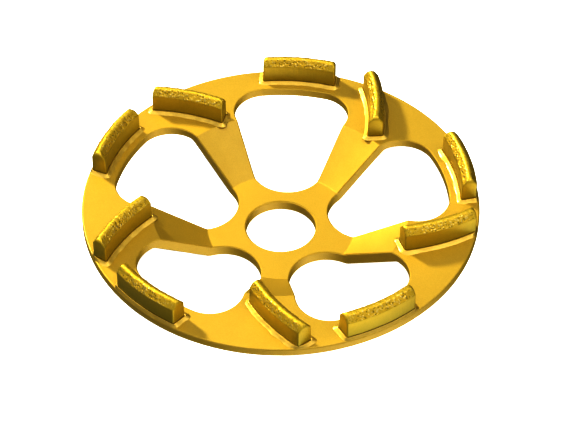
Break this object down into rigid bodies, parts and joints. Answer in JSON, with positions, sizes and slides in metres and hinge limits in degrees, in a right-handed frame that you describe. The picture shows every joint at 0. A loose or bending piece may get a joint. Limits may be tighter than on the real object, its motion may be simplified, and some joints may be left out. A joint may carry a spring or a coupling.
{
  "type": "diamond cup wheel",
  "caption": "Dished steel grinding wheel with a central bore, rounded windows between spokes and curved diamond segments brazed along and across its rim.",
  "frame": {"origin": "centre of the bore on the hub's back face, which is also the middle of the box's bottom", "axes": "+Z runs along the bore from the hub's back face towards the segments; one window is centred on +Y"},
  "size_m": [0.125, 0.125, 0.0235],
  "materials": {
    "disc_gold": "satin",
    "segment_gold": "satin",
    "braze_gold": "satin"
  },
  "bodies": {
    "root": {"steel_disc": "disc_gold", "rim_segment_1": "segment_gold", "rim_braze_1": "braze_gold", "slant_segment_1": "segment_gold", "slant_braze_1": "braze_gold", "rim_segment_2": "segment_gold", "rim_braze_2": "braze_gold", "slant_segment_2": "segment_gold", "slant_braze_2": "braze_gold", "rim_segment_3": "segment_gold", "rim_braze_3": "braze_gold", "slant_segment_3": "segment_gold", "slant_braze_3": "braze_gold", "rim_segment_4": "segment_gold", "rim_braze_4": "braze_gold", "slant_segment_4": "segment_gold", "slant_braze_4": "braze_gold", "rim_segment_5": "segment_gold", "rim_braze_5": "braze_gold", "slant_segment_5": "segment_gold", "slant_braze_5": "braze_gold"}
  },
  "joints": []
}
